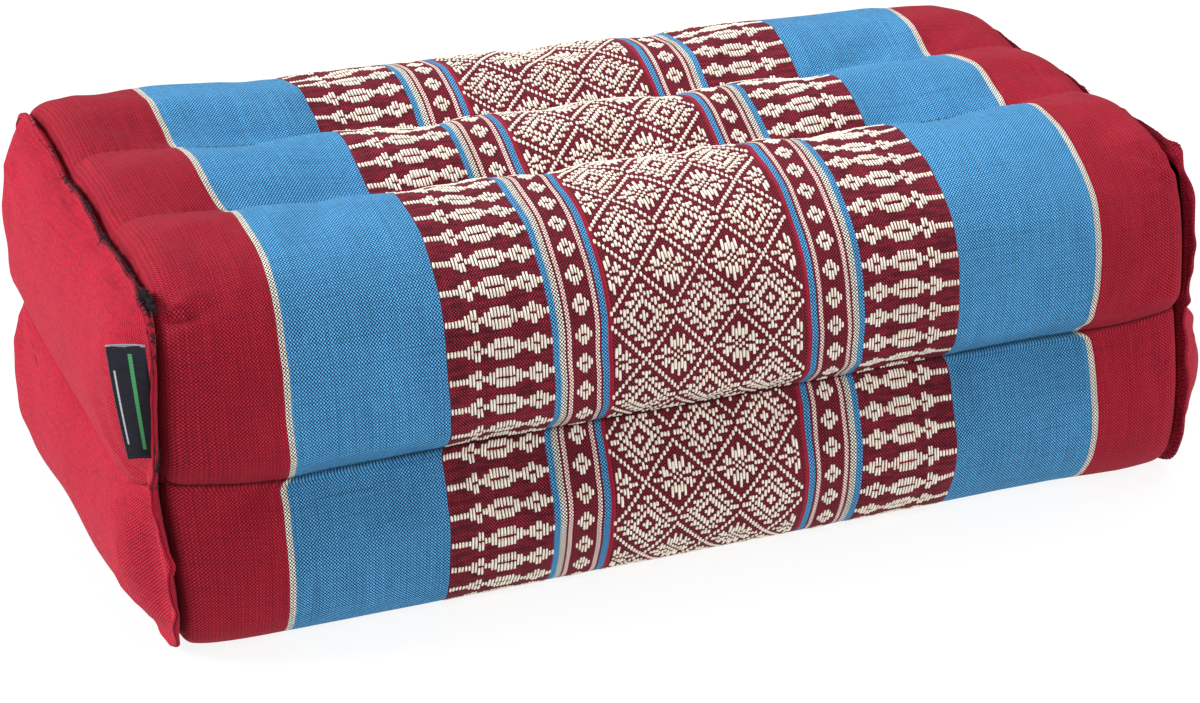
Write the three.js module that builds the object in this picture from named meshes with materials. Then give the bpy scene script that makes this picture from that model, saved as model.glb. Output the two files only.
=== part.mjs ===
// A block-shaped zafu: a kapok-filled cushion sewn from one striped wrap cloth and two plain end
// panels. Millimetres, +Z up, X along the length, the front long side faces -Y, and the cushion
// rests on z = 0.
import * as THREE from "three";

// Driving dimensions
const LENGTH = 350; // between the two end seams
const DEPTH = 195; // over the front and back rolls
const HEIGHT = 127; // over the top rolls
const END_DEPTH = 177; // of the rounded rectangle that the end seam follows
const END_TOP = 114.5; // height of that seam along the top
const END_BOTTOM = 5.6; // and along the bottom, with room for the edge seam under it
const TOP_SEAM_Y = 25.4; // the two lengthwise seams on top and underneath, from the middle
const SIDE_SEAM_Z = 58.5; // the seam along each long side
const TOP_SEAM_DEPTH = 10.5; // how far each seam draws the cloth in at mid length
const SIDE_SEAM_DEPTH = 9.5;
const BOTTOM_SEAM_DEPTH = 5;
const TOP_SEAM_REACH = 24; // how far from its line, along the cloth, each seam is still felt
const SIDE_SEAM_REACH_ABOVE = 15;
const SIDE_SEAM_REACH_BELOW = 27;
const BOTTOM_SEAM_REACH = 12;
const PRESSED = 0.4; // what would lie lower than this is pressed flat on the surface
const RIM = LENGTH / 2 - 2.5; // where the filled body's end edges lie along the length
const END_BULGE = 9; // how far each half of an end panel stands out
const CREASE_BULGE = 3.5; // the same at the crease between the halves
const CREASE_SAG = 10; // how far that crease hangs below the side seams
const PANEL_THICKNESS = 2;
const BACK_DEPTH = 1.05; // the filling reaches a little further back than to the front
const BACK_LIFT = 0.0003; // and stands higher there: share of height per mm
const LEFT_LIFT = 0.00011; // likewise towards the left end
const GAP = 0.36; // between neighbouring pieces
const RIDGE_FOOT_X = LENGTH / 2 - 0.5; // where the edge seam stands along the length
const RIDGE_FOOT_OUT = GAP + 0.25; // and how far off the cloth
const RIDGE_HEIGHT = 4; // the overlocked edge seam
const RIDGE_THICKNESS = 2.2;
const RIDGE_LEAN = 0.35; // how far it leans out from the end, in radians
const RIDGE_LEAN_UNDER = 1.05; // the same underneath, where the floor turns it outwards
const RIDGE_WAVE = 0.09; // how far it sways about that lean
const RIDGE_WAVES = 14; // times round the end
const LABEL_WIDTH = 11.5;
const LABEL_HEIGHT = 34;
const LABEL_TOP = 106;
const LABEL_SLANT = 3.5; // how far its free edge lies behind its seat
const LABEL_BEND = 1.2;
const LABEL_DROOP = 1.5; // how far its free edge hangs lower
const LABEL_THICKNESS = 1.2;

const RED = new THREE.MeshStandardMaterial({ color: "#a82542", roughness: 0.95, metalness: 0 });
const BLUE = new THREE.MeshStandardMaterial({ color: "#3a8cc4", roughness: 0.95, metalness: 0 });
const DARK = new THREE.MeshStandardMaterial({ color: "#3a2a35", roughness: 0.9, metalness: 0 });
const TAG = new THREE.MeshStandardMaterial({ color: "#222028", roughness: 0.8, metalness: 0 });

// Half sections without their seams, from the top middle round the front to the bottom middle,
// as shares of the half depth and of the height.
const MIDDLE_HALF = [
  [0, 1],
  [0.3, 1],
  [0.53, 0.998],
  [0.64, 0.987],
  [0.73, 0.967],
  [0.82, 0.929],
  [0.892, 0.88],
  [0.944, 0.821],
  [0.976, 0.749],
  [0.993, 0.672],
  [1, 0.59],
  [1, 0.47],
  [1, 0.36],
  [0.996, 0.26],
  [0.988, 0.18],
  [0.966, 0.1],
  [0.925, 0.04],
  [0.86, 0.008],
  [0.78, 0],
  [0.5, 0],
  [0.25, 0],
  [0, 0],
];
const END_HALF = [
  [0, 1],
  [0.3, 1],
  [0.55, 1],
  [0.72, 0.998],
  [0.82, 0.99],
  [0.895, 0.962],
  [0.94, 0.915],
  [0.968, 0.85],
  [0.988, 0.77],
  [1, 0.68],
  [1, 0.6],
  [1, 0.5],
  [1, 0.38],
  [1, 0.27],
  [1, 0.17],
  [0.984, 0.1],
  [0.947, 0.038],
  [0.885, 0.007],
  [0.8, 0],
  [0.5, 0],
  [0.25, 0],
  [0, 0],
];

function halfCurve(shares, halfDepth, bottom, top) {
  const points = shares.map(([y, z]) => new THREE.Vector3(0, -y * halfDepth, bottom + z * (top - bottom)));
  return new THREE.CatmullRomCurve3(points, false, "centripetal");
}
const middleCurve = halfCurve(MIDDLE_HALF, DEPTH / 2, 0, HEIGHT);
const endCurve = halfCurve(END_HALF, END_DEPTH / 2, END_BOTTOM, END_TOP);

// The share of a half section's length at which a test on its points first holds.
const SEARCH_STEPS = 800;
function shareWhere(curve, holds) {
  for (let i = 0; i <= SEARCH_STEPS; i++) {
    const share = i / SEARCH_STEPS;
    if (holds(curve.getPointAt(share))) return share;
  }
  return 1;
}
const topSeam = shareWhere(middleCurve, (p) => p.y <= -TOP_SEAM_Y);
const sideSeam = shareWhere(middleCurve, (p) => p.z <= SIDE_SEAM_Z);
const bottomSeam = shareWhere(middleCurve, (p) => p.z < HEIGHT / 4 && p.y >= -TOP_SEAM_Y);

// Where the columns of the mesh lie round one half: close together beside each seam.
const CROWD_BOTH = 0.09;
const CROWD_ONE = 1.35;
function shares(from, to, count, easeFrom, easeTo) {
  const list = [];
  for (let i = 0; i < count; i++) {
    let t = i / count;
    if (easeFrom && easeTo) t -= CROWD_BOTH * Math.sin(2 * Math.PI * t);
    else if (easeFrom) t = Math.pow(t, CROWD_ONE);
    else if (easeTo) t = 1 - Math.pow(1 - t, CROWD_ONE);
    list.push(from + (to - from) * t);
  }
  return list;
}
const HALF_COLUMNS = [
  ...shares(0, topSeam, 4, false, true),
  ...shares(topSeam, sideSeam, 13, true, true),
  ...shares(sideSeam, bottomSeam, 12, true, true),
  ...shares(bottomSeam, 1, 3, true, false),
];
const COLUMNS = HALF_COLUMNS.length * 2;
const SIDE_COLUMN = HALF_COLUMNS.indexOf(sideSeam);

// How a seam draws the cloth in at a distance from its line: sharp at mid length, soft at the ends.
const VALLEY_POWER = 1.6;
const VALLEY_SOFTNESS = 0.6;
const VALLEY_SOFTNESS_AT_END = 5.6;
function drawIn(distance, reach, softness) {
  const d = Math.hypot(distance, softness) - softness;
  return Math.pow(Math.max(0, 1 - d / reach), VALLEY_POWER);
}

// The share of a seam's depth that is lost at the very end.
const TOP_SEAM_FADE = 0.72;
const SIDE_SEAM_FADE = 0.6;
const BOTTOM_SEAM_FADE = 0.8;

// The section keeps its full size over most of the length and rounds off towards the ends.
const END_ROUNDING = 8;
const END_ROUNDNESS = 1 / 2.2;

// A point of the front half section at the share s of its length, at x.
function frontPoint(x, s) {
  const t = Math.min(1, Math.abs(x) / (LENGTH / 2));
  const full = Math.pow(1 - Math.pow(t, END_ROUNDING), END_ROUNDNESS);
  const p = endCurve.getPointAt(s).lerp(middleCurve.getPointAt(s), full);
  const along = endCurve.getTangentAt(s).lerp(middleCurve.getTangentAt(s), full).normalize();
  const inward = new THREE.Vector3(0, -along.z, along.y);
  const softness = VALLEY_SOFTNESS + (VALLEY_SOFTNESS_AT_END - VALLEY_SOFTNESS) * t ** 6;
  const valley = (seam, reach, depth, fade) => {
    const distance = (s - seam) * middleCurve.getLength();
    return drawIn(distance, reach, softness) * depth * (1 - fade);
  };
  const sideReach = s < sideSeam ? SIDE_SEAM_REACH_ABOVE : SIDE_SEAM_REACH_BELOW;
  const top = valley(topSeam, TOP_SEAM_REACH, TOP_SEAM_DEPTH, TOP_SEAM_FADE * t ** 3);
  const side = valley(sideSeam, sideReach, SIDE_SEAM_DEPTH, SIDE_SEAM_FADE * t ** 4);
  const under = valley(bottomSeam, BOTTOM_SEAM_REACH, BOTTOM_SEAM_DEPTH, BOTTOM_SEAM_FADE * t ** 3);
  return p.addScaledVector(inward, top + side + under);
}

// One whole loop round the cushion at x, from the top middle round the front and back again.
function loopAt(x) {
  const front = [...HALF_COLUMNS, 1].map((s) => frontPoint(x, s));
  const back = front.slice(1, -1).reverse().map((p) => new THREE.Vector3(0, -p.y * BACK_DEPTH, p.z));
  return [...front, ...back].map((p) => {
    const height = p.z * liftAt(x, p.y);
    return new THREE.Vector3(x, p.y, height < PRESSED ? 0 : height);
  });
}

function liftAt(x, y) {
  return 1 + BACK_LIFT * y - LEFT_LIFT * x;
}

class Surface {
  constructor() {
    this.points = [];
    this.faces = [];
  }
  add(point) {
    this.points.push(point);
    return this.points.length - 1;
  }
  row(points) {
    return points.map((p) => this.add(p));
  }
  triangle(a, b, c) {
    this.faces.push(a, b, c);
  }
  quad(a, b, c, d) {
    this.triangle(a, b, c);
    this.triangle(a, c, d);
  }
  // Closed strips between two closed rows
  band(a, b) {
    for (let i = 0; i < a.length; i++) {
      const j = (i + 1) % a.length;
      this.quad(a[i], a[j], b[j], b[i]);
    }
  }
  volume() {
    let sum = 0;
    for (let i = 0; i < this.faces.length; i += 3) {
      const [a, b, c] = [0, 1, 2].map((k) => this.points[this.faces[i + k]]);
      sum += a.dot(new THREE.Vector3().crossVectors(b, c));
    }
    return sum;
  }
  // The closed mesh, turned so that its faces point outwards
  mesh(name, material) {
    if (this.volume() < 0) this.faces.reverse();
    const geometry = new THREE.BufferGeometry().setFromPoints(this.points);
    geometry.setIndex(this.faces);
    geometry.computeVertexNormals();
    const mesh = new THREE.Mesh(geometry, material);
    mesh.name = name;
    return mesh;
  }
}

// The crease across an end hangs between the loop's points at its front and back side seams.
const CREASE_STEPS = 12;
function creaseAt(loop, t) {
  const p = loop[SIDE_COLUMN].clone().lerp(loop[COLUMNS - SIDE_COLUMN], t);
  p.z -= CREASE_SAG * Math.sqrt(Math.max(0, 1 - (2 * t - 1) ** 2));
  return p;
}

// How far the end stands out at a point: two pillows, one on each side of the crease. Each stays
// full over most of its width and height and comes down steeply at its edges.
const PILLOW_POWER = 0.55;
const PILLOW_WIDTH_POWER = 5;
const CREASE_WIDTH_POWER = 4;
function endOut(loop, p) {
  const front = loop[SIDE_COLUMN].y;
  const back = loop[COLUMNS - SIDE_COLUMN].y;
  const t = Math.min(1, Math.max(0, (p.y - front) / (back - front)));
  const u = Math.abs(2 * t - 1);
  const crease = creaseAt(loop, t).z;
  const lift = liftAt(p.x, p.y);
  const edge = (p.z > crease ? END_TOP : END_BOTTOM) * lift;
  const v = (p.z - crease) / (edge - crease);
  const pillow = Math.pow(Math.max(0, 4 * v * (1 - v)), PILLOW_POWER) * (1 - u ** PILLOW_WIDTH_POWER);
  const low = CREASE_BULGE * Math.max(0, 1 - v) * (1 - u ** CREASE_WIDTH_POWER);
  return low + (END_BULGE - low) * pillow;
}

// Rows for one half of an end, from its outline inwards to one middle point. The outline's first
// points lie on the loop, where the end stands out by nothing.
const RINGS = [1, 0.93, 0.82, 0.66, 0.44, 0.22];
const RIM_POWER = 12;
function endHalf(loop, outline, onLoop, side, offset) {
  const middle = outline.reduce((sum, p) => sum.add(p), new THREE.Vector3()).divideScalar(outline.length);
  const base = RIM + offset;
  const place = (p, share) => new THREE.Vector3(side * (base + endOut(loop, p) * share), p.y, p.z);
  const rows = RINGS.map((r) =>
    outline.map((p, i) => place(middle.clone().lerp(p, r), i < onLoop ? 1 - r ** RIM_POWER : 1)),
  );
  return { rows, middle: place(middle, 1) };
}

// A whole end surface at an offset outwards from the filling; returns its rim, in the order of the loop.
function addEnd(surface, side, offset, flip) {
  const loop = loopAt(side * RIM);
  const front = SIDE_COLUMN;
  const back = COLUMNS - SIDE_COLUMN;
  const crease = [];
  for (let i = 1; i < CREASE_STEPS; i++) crease.push(creaseAt(loop, i / CREASE_STEPS));
  const upper = [...loop.slice(back), ...loop.slice(0, front + 1), ...crease];
  const lower = [...loop.slice(front, back + 1), ...[...crease].reverse()];
  const known = new Map();
  const vertex = (p) => {
    const key = [p.x, p.y, p.z].map((v) => Math.round(v * 1e4)).join();
    if (!known.has(key)) known.set(key, surface.add(p));
    return known.get(key);
  };
  for (const outline of [upper, lower]) {
    const half = endHalf(loop, outline, outline.length - crease.length, side, offset);
    const rows = half.rows.map((row) => row.map(vertex));
    const tip = vertex(half.middle);
    const face = (a, b, c) => (flip ? surface.triangle(a, c, b) : surface.triangle(a, b, c));
    for (let k = 0; k + 1 < rows.length; k++) {
      for (let i = 0; i < outline.length; i++) {
        const j = (i + 1) % outline.length;
        face(rows[k][i], rows[k][j], rows[k + 1][j]);
        face(rows[k][i], rows[k + 1][j], rows[k + 1][i]);
      }
    }
    const last = rows[rows.length - 1];
    for (let i = 0; i < outline.length; i++) face(last[i], last[(i + 1) % outline.length], tip);
  }
  return loop.map((p) => vertex(new THREE.Vector3(side * (RIM + offset), p.y, p.z)));
}

// The filled body: loops along the length, closer together towards the ends, and both end surfaces.
const STATIONS = [0, 0.13, 0.26, 0.39, 0.51, 0.62, 0.72, 0.8, 0.87, 0.92, 0.955, 0.98, 0.993];
function bodyMesh() {
  const surface = new Surface();
  const xs = [...STATIONS.slice(1).reverse().map((t) => -t * RIM), ...STATIONS.map((t) => t * RIM)];
  const left = addEnd(surface, -1, 0, false);
  const rows = xs.map((x) => surface.row(loopAt(x)));
  const right = addEnd(surface, 1, 0, true);
  const all = [left, ...rows, right];
  for (let i = 0; i + 1 < all.length; i++) surface.band(all[i + 1], all[i]);
  return surface.mesh("cushion_body", BLUE);
}

function endPanelMesh(name, side) {
  const surface = new Surface();
  const inner = addEnd(surface, side, GAP, side > 0);
  const outer = addEnd(surface, side, GAP + PANEL_THICKNESS, side < 0);
  if (side > 0) surface.band(inner, outer);
  else surface.band(outer, inner);
  return surface.mesh(name, RED);
}

// The path of an edge seam: the end loop eased over its pinches and stepped evenly.
function ridgePath(side, count) {
  const loop = loopAt(side * RIM).map((p) => new THREE.Vector3(0, p.y, p.z));
  const curve = new THREE.CatmullRomCurve3(loop, true, "centripetal");
  return curve.getSpacedPoints(count).slice(0, count);
}

// A low blade that stands on the path and leans outwards, with a rounded, slightly wavy edge.
const RIDGE_STEPS = 104;
function edgeSeamMesh(name, side) {
  const surface = new Surface();
  const count = RIDGE_STEPS;
  const path = ridgePath(side, count);
  const half = RIDGE_THICKNESS / 2;
  const blade = [
    [0, -half * 0.6],
    [RIDGE_HEIGHT * 0.5, -half],
    [RIDGE_HEIGHT * 0.88, -half * 0.75],
    [RIDGE_HEIGHT, 0],
    [RIDGE_HEIGHT * 0.88, half * 0.75],
    [RIDGE_HEIGHT * 0.5, half],
    [0, half * 0.6],
  ];
  const rows = path.map((p, i) => {
    const before = path[(i + count - 1) % count];
    const after = path[(i + 1) % count];
    const along = after.clone().sub(before).normalize();
    const outward = new THREE.Vector3(0, along.z, -along.y);
    const under = Math.pow(Math.max(0, -outward.z), 2);
    const wave = RIDGE_WAVE * Math.sin((i / count) * 2 * Math.PI * RIDGE_WAVES) * (1 - under);
    const lean = RIDGE_LEAN + (RIDGE_LEAN_UNDER - RIDGE_LEAN) * under + wave;
    return surface.row(
      blade.map(([rise, across]) => {
        const x = RIDGE_FOOT_X + rise * Math.sin(lean) + across * Math.cos(lean);
        const out = RIDGE_FOOT_OUT + rise * Math.cos(lean) - across * Math.sin(lean);
        const q = p.clone().addScaledVector(outward, out);
        return new THREE.Vector3(side * x, q.y, q.z);
      }),
    );
  });
  for (let i = 0; i < count; i++) surface.band(rows[i], rows[(i + 1) % count]);
  return surface.mesh(name, DARK);
}

// Where the front upright of the left end loop runs at a height.
function frontUprightY(z) {
  const loop = loopAt(-RIM).slice(0, SIDE_COLUMN + 1);
  for (let i = 1; i < loop.length; i++) {
    if (loop[i].z > z) continue;
    const t = (loop[i - 1].z - z) / (loop[i - 1].z - loop[i].z);
    return loop[i - 1].y + (loop[i].y - loop[i - 1].y) * t;
  }
  return loop[loop.length - 1].y;
}

// The tag: a bent strip seated against the outer face of the left edge seam and standing out from it.
const LABEL_STEPS = [6, 5];
function labelMesh() {
  const surface = new Surface();
  const [across, up] = LABEL_STEPS;
  const seatX = RIDGE_FOOT_X + (RIDGE_HEIGHT / 2) * Math.sin(RIDGE_LEAN) + RIDGE_THICKNESS / 2 + GAP;
  const seatOut = RIDGE_FOOT_OUT + RIDGE_HEIGHT / 2;
  const at = (i, j, side) => {
    const s = i / across;
    const z = LABEL_TOP - (LABEL_HEIGHT * j) / up;
    const x = -seatX - s * LABEL_WIDTH;
    const y = frontUprightY(z) - seatOut + LABEL_SLANT * s + LABEL_BEND * Math.sin(Math.PI * s);
    return new THREE.Vector3(x, y + (side * LABEL_THICKNESS) / 2, z - LABEL_DROOP * s);
  };
  const grids = [-1, 1].map((side) => {
    const rows = [];
    for (let j = 0; j <= up; j++) {
      const row = [];
      for (let i = 0; i <= across; i++) row.push(surface.add(at(i, j, side)));
      rows.push(row);
    }
    return rows;
  });
  const [front, back] = grids;
  for (let j = 0; j < up; j++) {
    for (let i = 0; i < across; i++) {
      surface.quad(front[j][i], front[j + 1][i], front[j + 1][i + 1], front[j][i + 1]);
      surface.quad(back[j][i], back[j][i + 1], back[j + 1][i + 1], back[j + 1][i]);
    }
  }
  for (let i = 0; i < across; i++) {
    surface.quad(front[0][i], front[0][i + 1], back[0][i + 1], back[0][i]);
    surface.quad(front[up][i + 1], front[up][i], back[up][i], back[up][i + 1]);
  }
  for (let j = 0; j < up; j++) {
    surface.quad(front[j + 1][0], front[j][0], back[j][0], back[j + 1][0]);
    surface.quad(front[j][across], front[j + 1][across], back[j + 1][across], back[j][across]);
  }
  return surface.mesh("label", TAG);
}

const zafu = new THREE.Group();
zafu.add(
  bodyMesh(),
  endPanelMesh("end_panel_left", -1),
  endPanelMesh("end_panel_right", 1),
  edgeSeamMesh("edge_seam_left", -1),
  edgeSeamMesh("edge_seam_right", 1),
  labelMesh(),
);

// The frame's origin lies under the middle of the whole cushion, the label included.
const box = new THREE.Box3().setFromObject(zafu);
const middle = box.getCenter(new THREE.Vector3());
for (const piece of zafu.children) piece.geometry.translate(-middle.x, -middle.y, -box.min.z);

export default zafu;
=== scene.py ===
"""The looks of a block-shaped zafu: woven wrap cloth with raised figures, two end panels, their
overlocked edges and a small blank tag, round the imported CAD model. Sizes are in millimetres."""

import math
from functools import reduce

import bpy
import numpy as np
from mathutils import Matrix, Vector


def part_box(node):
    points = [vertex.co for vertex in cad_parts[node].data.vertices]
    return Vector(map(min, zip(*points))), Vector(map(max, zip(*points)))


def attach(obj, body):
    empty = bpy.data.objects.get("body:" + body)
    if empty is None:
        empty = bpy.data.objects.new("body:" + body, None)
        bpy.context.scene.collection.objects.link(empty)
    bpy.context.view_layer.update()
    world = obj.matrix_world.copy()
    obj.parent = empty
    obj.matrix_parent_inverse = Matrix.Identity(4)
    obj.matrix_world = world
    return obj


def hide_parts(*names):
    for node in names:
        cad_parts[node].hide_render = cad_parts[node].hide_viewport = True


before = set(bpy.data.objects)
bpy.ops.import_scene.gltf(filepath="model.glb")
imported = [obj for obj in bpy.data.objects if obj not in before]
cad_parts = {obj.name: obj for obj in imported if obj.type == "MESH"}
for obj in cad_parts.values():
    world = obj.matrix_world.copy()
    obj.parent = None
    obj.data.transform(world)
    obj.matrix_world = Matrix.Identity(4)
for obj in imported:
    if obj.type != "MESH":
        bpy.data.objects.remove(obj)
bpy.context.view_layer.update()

MM = 0.001

# Main sizes, near the CAD model's. The ends sit a little lower than there.
LENGTH, DEPTH, HEIGHT = 350.0, 195.0, 127.0
END_DEPTH, END_TOP, END_BOTTOM = 177.0, 113.3, 4.4
RIM = LENGTH / 2 - 2.5  # where the wrap ends, to either side of the middle
GAP = 0.36  # between the wrap's end and its panel
PANEL_THICKNESS = 2.0
CLOTH_THICKNESS = 1.2
FLOOR_GAP = 0.34  # the pressed cloth keeps this much room for its raised threads

# Where the seams lie at mid length, and how they draw the cloth in: depth, the share of it that is
# lost at the ends, and the power of that loss
TOP_SEAM_Y = 25.4
SIDE_SEAM_Z = 58.5
TOP_DRAW = (10.5, 0.78, 4)
SIDE_DRAW = (9.5, 0.6, 4)
BOTTOM_DRAW = (5.0, 0.8, 3)
TOP_REACH, BOTTOM_REACH = 24.0, 12.0
SIDE_REACH = (9.5, 28.0)  # above the seam and below it
SIDE_POWER = (2.0, 1.25)
SEAM_SOFTNESS = 0.4
SEAM_CLIMB = 0.014  # the side seams rise this much for each mm to the right
RIGHT_SEAM_CLIMB = 0.011  # and this much more in the right half
END_SEAM_CLIMB = (6.0, 2.5)  # they rise further beside the left end and the right end
SEAM_CLIMB_REACH = 0.17

# The plain form, changed: the section turns into the ends' late and sharply, left and right
END_LATE, END_SHARP = (17, 24), (0.35, 0.32)
BACK_DEPTH = 1.05
BACK_LIFT, BACK_LIFT_REACH = 0.0003, 45.0
LEFT_LIFT = 0.00011
CORNER_TWIST = (0.046, 0.032)  # the back left corner stands higher than the back right one
FRONT_RIGHT_LIFT = 0.022
FRONT_TUCK, TUCK_TOP = 0.05, 30.0  # the front bottom edge runs further in to the right
RIM_DIP, RIM_DIP_REACH = 1.7, 3.6  # the wrap turns in under the edge seams
SEAM_OUT, SEAM_OUT_Z = 4.4, 62.0  # the front edge of the left end stands out by its side seam

# The CAD model's own middle lies a little off the middle between the end seams.
body_low, body_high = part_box("cushion_body")
ORIGIN = np.array([(body_low.x + body_high.x) / 2, body_low.y + DEPTH / 2 * MM, 0.0])

# Half sections without their seams, from the top middle round the front to the bottom middle, as
# shares of the half depth and of the height
MIDDLE_HALF = (
    (0, 1), (0.3, 1), (0.53, 0.998), (0.64, 0.987), (0.73, 0.967), (0.82, 0.929), (0.892, 0.88),
    (0.944, 0.821), (0.976, 0.749), (0.993, 0.672), (1, 0.59), (1, 0.47), (1, 0.36), (0.996, 0.26),
    (0.987, 0.18), (0.965, 0.106), (0.928, 0.057), (0.885, 0.028), (0.84, 0.01), (0.79, 0.001),
    (0.73, 0), (0.5, 0), (0.25, 0), (0, 0),
)
END_HALF = (
    (0, 1), (0.3, 1), (0.55, 1), (0.74, 1), (0.84, 0.998), (0.905, 0.985), (0.95, 0.955),
    (0.977, 0.905), (0.99, 0.83), (1, 0.73), (1, 0.6), (1, 0.5), (1, 0.38), (1, 0.27), (1, 0.16),
    (0.988, 0.095), (0.95, 0.038), (0.89, 0.01), (0.805, 0), (0.5, 0), (0.25, 0), (0, 0),
)


def to_frame(points):
    return np.asarray(points) * MM + ORIGIN


def unit(vectors):
    return vectors / np.maximum(np.linalg.norm(vectors, axis=-1, keepdims=True), 1e-9)


def ramp(value, start, end):
    """0 up to the start, 1 from the end on, and even between them."""
    return np.clip((value - start) / (end - start), 0, 1)


def bell(distance, reach):
    """1 at no distance, falling smoothly to 0.37 at the reach and to 0 beyond it."""
    return np.exp(-((distance / reach) ** 2))


def above_floor(points, least):
    return np.maximum(points, (-np.inf, -np.inf, least))


class Half:
    """A smooth curve through a half section, read by the share of its length."""

    def __init__(self, shares, half_depth, bottom, top):
        points = [(-y * half_depth, bottom + z * (top - bottom)) for y, z in shares]
        self.points = smooth_curve(np.array(points))
        steps = np.linalg.norm(np.diff(self.points, axis=0), axis=1)
        lengths = np.concatenate([[0], np.cumsum(steps)])
        self.length = lengths[-1]
        self.shares = lengths / self.length

    def at(self, s):
        return np.stack([np.interp(s, self.shares, self.points[:, k]) for k in (0, 1)], -1)

    def tangent(self, s, reach=1e-3):
        return unit(self.at(np.clip(s + reach, 0, 1)) - self.at(np.clip(s - reach, 0, 1)))


def smooth_curve(points, steps=40):
    """A centripetal Catmull-Rom curve through the points."""
    p = np.vstack([2 * points[0] - points[1], points, 2 * points[-1] - points[-2]])
    t = np.linspace(0, 1, steps, endpoint=False)[:, None]
    pieces = []
    for a, b, c, d in zip(p[:-3], p[1:-2], p[2:-1], p[3:]):
        ab, bc, cd = (math.sqrt(np.linalg.norm(step)) for step in (b - a, c - b, d - c))
        out = ((b - a) / ab - (c - a) / (ab + bc) + (c - b) / bc) * bc
        into = ((c - b) / bc - (d - b) / (bc + cd) + (d - c) / cd) * bc
        bend = -3 * b + 3 * c - 2 * out - into
        pieces.append(b + out * t + bend * t**2 + (2 * b - 2 * c + out + into) * t**3)
    return np.vstack([*pieces, points[-1:]])


MIDDLE = Half(MIDDLE_HALF, DEPTH / 2, 0, HEIGHT)
END = Half(END_HALF, END_DEPTH / 2, END_BOTTOM, END_TOP)
FINE = np.linspace(0, 1, 8001)
fine_y, fine_z = MIDDLE.at(FINE).T
TOP_SEAM = FINE[np.argmax(fine_y <= -TOP_SEAM_Y)]
SIDE_SEAM = FINE[np.argmax(fine_z <= SIDE_SEAM_Z)]
BOTTOM_SEAM = FINE[np.argmax((fine_z < HEIGHT / 4) & (fine_y >= -TOP_SEAM_Y))]


def lift_at(x, y):
    """How many times its plain height the cushion has at x and y."""
    t = x / (LENGTH / 2)
    twist = np.where(x < 0, CORNER_TWIST[0] * t**3, CORNER_TWIST[1] * t**5) * 1.1 * ramp(y, -20, 90)
    front_right = FRONT_RIGHT_LIFT * np.clip(t, 0, 1) ** 8 * ramp(-y, 20, 80)
    return 1 + BACK_LIFT * np.minimum(y, BACK_LIFT_REACH) - LEFT_LIFT * x - twist + front_right


def seam_climb(x):
    """How far the side seams rise at x, in mm: slowly to the right, and more beside both ends."""
    end = np.where(x < 0, *END_SEAM_CLIMB) * ramp(np.abs(x), 138, 174) ** 1.5
    return SEAM_CLIMB * x + RIGHT_SEAM_CLIMB * np.maximum(x, 0) + end


def near_side_seam(s):
    return bell(s - SIDE_SEAM, SEAM_CLIMB_REACH)


def drawn_in(away, t, draw, reach, power=1.6):
    """How far a seam draws the cloth in, at a share of the half girth away from it, in mm."""
    depth, lost, lost_power = draw
    distance = np.hypot(away * MIDDLE.length, SEAM_SOFTNESS) - SEAM_SOFTNESS
    return depth * np.maximum(0, 1 - distance / reach) ** power * (1 - lost * t**lost_power)


def half_section(x, s):
    """(y, z) of the front half at x and the share s."""
    # The section is read a little higher or lower near the side seam, because that seam climbs.
    read = s - seam_climb(x) / MIDDLE.length * near_side_seam(s)
    near_end = np.minimum(1, np.abs(x) / (RIM + 0.1))
    full = ((1 - near_end ** np.where(x < 0, *END_LATE)) ** np.where(x < 0, *END_SHARP))[..., None]
    p = END.at(read) * (1 - full) + MIDDLE.at(read) * full
    along = unit(END.tangent(read) * (1 - full) + MIDDLE.tangent(read) * full)
    inward = np.stack([-along[..., 1], along[..., 0]], -1)
    t = np.minimum(1, np.abs(x) / (LENGTH / 2))
    reach, power = (np.where(s < SIDE_SEAM, *pair) for pair in (SIDE_REACH, SIDE_POWER))
    depth = drawn_in(s - TOP_SEAM, t, TOP_DRAW, TOP_REACH)
    depth += drawn_in(s - SIDE_SEAM, t, SIDE_DRAW, reach, power)
    depth += drawn_in(s - BOTTOM_SEAM, t, BOTTOM_DRAW, BOTTOM_REACH)
    return p + inward * depth[..., None]


def section(x, g):
    """Points at x and the share g of the whole girth, from the top middle over the front."""
    x, g = np.broadcast_arrays(np.asarray(x, float), np.mod(g, 1))
    back = g > 0.5
    y, z = np.moveaxis(half_section(x, np.where(back, 2 * (1 - g), 2 * g)), -1, 0)
    tuck = FRONT_TUCK * x / (LENGTH / 2) * ramp(z, TUCK_TOP, 0) ** 2 * (1 - 0.8 * ramp(x, 130, 155))
    y = np.where(back, -y * BACK_DEPTH, y * (1 - tuck))
    return np.stack([x, y, np.maximum(z * lift_at(x, y), FLOOR_GAP)], -1)


# The cloth's own coordinates: u along the length and v round the girth, both in mm and 0 at the
# top middle, with v growing towards the front. v is measured on the section at mid length.
GIRTH_SHARES = np.linspace(-0.5, 0.5, 12001)
mid_steps = np.linalg.norm(np.diff(section(0.0, GIRTH_SHARES), axis=0), axis=1)
GIRTH_LENGTHS = np.concatenate([[0], np.cumsum(mid_steps)])
GIRTH_LENGTHS -= np.interp(0, GIRTH_SHARES, GIRTH_LENGTHS)
BACK_V, FRONT_V = GIRTH_LENGTHS[0], GIRTH_LENGTHS[-1]
GIRTH = FRONT_V - BACK_V
SEAM_SHARES = sorted(sign * share / 2 for sign in (-1, 1) for share in (TOP_SEAM, SIDE_SEAM, BOTTOM_SEAM))
SEAM_VS = [float(v) for v in np.interp(SEAM_SHARES, GIRTH_SHARES, GIRTH_LENGTHS)]
BACK_SIDE, FRONT_SIDE = 1, 4  # the side seams' places in SEAM_VS
ROLLS = list(zip([BACK_V, *SEAM_VS], [*SEAM_VS, FRONT_V]))
FRONT_LOWER = 5  # the roll under the front side seam


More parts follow.
